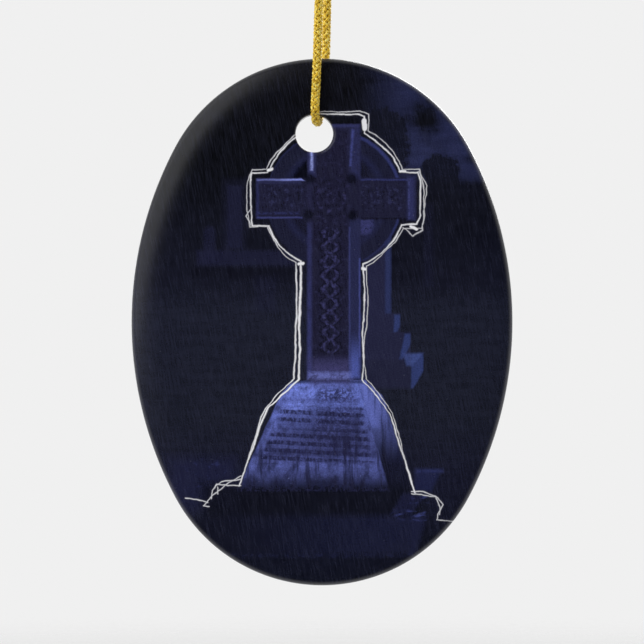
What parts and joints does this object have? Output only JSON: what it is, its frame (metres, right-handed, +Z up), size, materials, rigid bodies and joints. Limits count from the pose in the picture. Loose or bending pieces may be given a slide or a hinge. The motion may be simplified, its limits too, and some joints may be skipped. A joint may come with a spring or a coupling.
{
  "type": "oval porcelain hanging ornament",
  "caption": "Flat glazed oval with rounded edges and a round hanging hole near its top, printed on the front with a night picture of a cross gravestone, on a knotted loop of gold cord.",
  "frame": {"origin": "top of the hanging loop, where the two strands of the cord meet the underside of their knot; the ornament hangs below it", "axes": "+Z up along the hanging loop, -Y the way the printed front faces, +X to the right as one looks at the front"},
  "size_m": [0.055, 0.007, 0.1239],
  "materials": {
    "printed_porcelain": "glossy white glazed porcelain; the front face carries a near-black indigo print with pale lines, and the edges and the back are plain white",
    "gold_cord": "thin round braid of yellow-gold metallic thread, bright and glittering with dark gaps between the strands"
  },
  "bodies": {
    "root": {"porcelain_oval": "printed_porcelain", "cord_loop": "gold_cord", "cord_knot": "gold_cord"}
  },
  "joints": []
}
